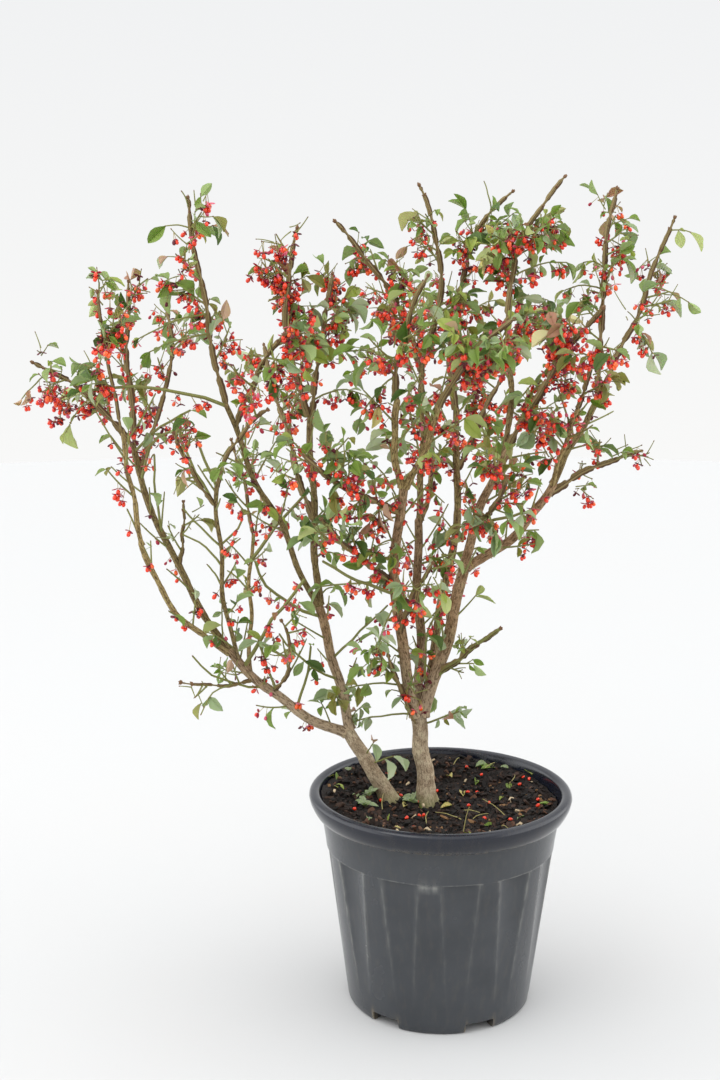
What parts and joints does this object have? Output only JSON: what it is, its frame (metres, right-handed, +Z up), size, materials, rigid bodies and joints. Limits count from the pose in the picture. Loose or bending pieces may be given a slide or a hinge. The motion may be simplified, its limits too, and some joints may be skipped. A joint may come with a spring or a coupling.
{
  "type": "potted burning bush",
  "caption": "Upright winged spindle shrub with red fruit and green leaves, two trunks forking low, in a fluted nursery pot of soil.",
  "frame": {"origin": "centre of the pot's flat underside", "axes": "+Z up, +X to the viewer's right and +Y away from the viewer, seen from the picture's side"},
  "size_m": [0.9218, 0.6292, 1.1416],
  "materials": {
    "pot_plastic": "satin",
    "soil": "matte",
    "bark": "matte",
    "foliage": "satin"
  },
  "bodies": {
    "root": {"pot": "pot_plastic", "soil": "soil", "trunk_right": "bark", "trunk_left": "bark", "bough_right": "bark", "bough_front": "bark", "bough_back": "bark", "bough_upright": "bark", "bough_front_left": "bark", "bough_front_right": "bark", "bough_back_top": "bark", "bough_back_away": "bark", "bough_right_low": "bark", "bough_right_inner": "bark", "bough_right_outer": "bark", "bough_right_mid": "bark", "bough_inner_upright": "bark", "arch_left": "bark", "upright_left": "bark", "arch_inner": "bark", "arch_outer": "bark", "arch_outer_top": "bark", "upright_left_top": "bark", "slant_left": "bark", "side_left": "bark", "side_back_left": "bark", "far_left": "foliage", "left_top": "foliage", "left_outer": "foliage", "left_inner": "foliage", "left_low": "foliage", "low_left": "foliage", "tall_left": "foliage", "mid_left": "foliage", "centre_left": "foliage", "centre_left_inner": "foliage", "back_left": "foliage", "side_left_top": "foliage", "side_left_out": "foliage", "side_back_left_top": "foliage", "left_foot": "foliage", "top_left": "foliage", "top_centre": "foliage", "top_middle": "foliage", "top_right": "foliage", "back_centre": "foliage", "back_right": "foliage", "right_inner": "foliage", "right_mid": "foliage", "right_top": "foliage", "right_top_left": "foliage", "right_low": "foliage", "right_foot": "foliage", "front_left": "foliage", "front_right": "foliage", "front_side": "foliage", "front_side_low": "foliage", "front_low": "foliage", "front_inner": "foliage", "foot": "foliage"}
  },
  "joints": []
}
